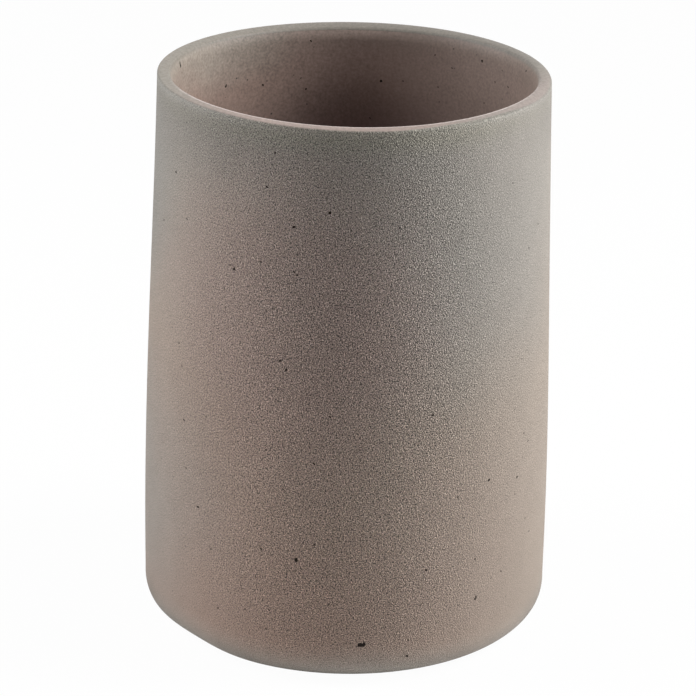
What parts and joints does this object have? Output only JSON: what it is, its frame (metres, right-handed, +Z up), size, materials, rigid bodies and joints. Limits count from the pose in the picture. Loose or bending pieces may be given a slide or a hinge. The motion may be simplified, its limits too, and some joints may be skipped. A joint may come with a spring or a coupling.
{
  "type": "tumbler",
  "caption": "Plain stoneware bathroom tumbler: an open, slightly tapering round cup with a flat lip, eased on the inside, and a rounded base edge, glazed inside, on a non-slip pad.",
  "frame": {"origin": "middle of the pad's underside, on the surface that the cup stands on", "axes": "+Z up the axis of the cup, out of its mouth; the cup is round, so +X and +Y are free"},
  "size_m": [0.0808, 0.0808, 0.1105],
  "materials": {
    "stoneware": "matt, finely sandy, with small dark iron specks and a cloudy tone",
    "matt_glaze": "smooth matt glaze with small dark specks",
    "foam_pad": "dense closed-cell foam, matt"
  },
  "bodies": {
    "root": {"cup_body": "stoneware", "inner_glaze": "matt_glaze", "base_pad": "foam_pad"}
  },
  "joints": []
}
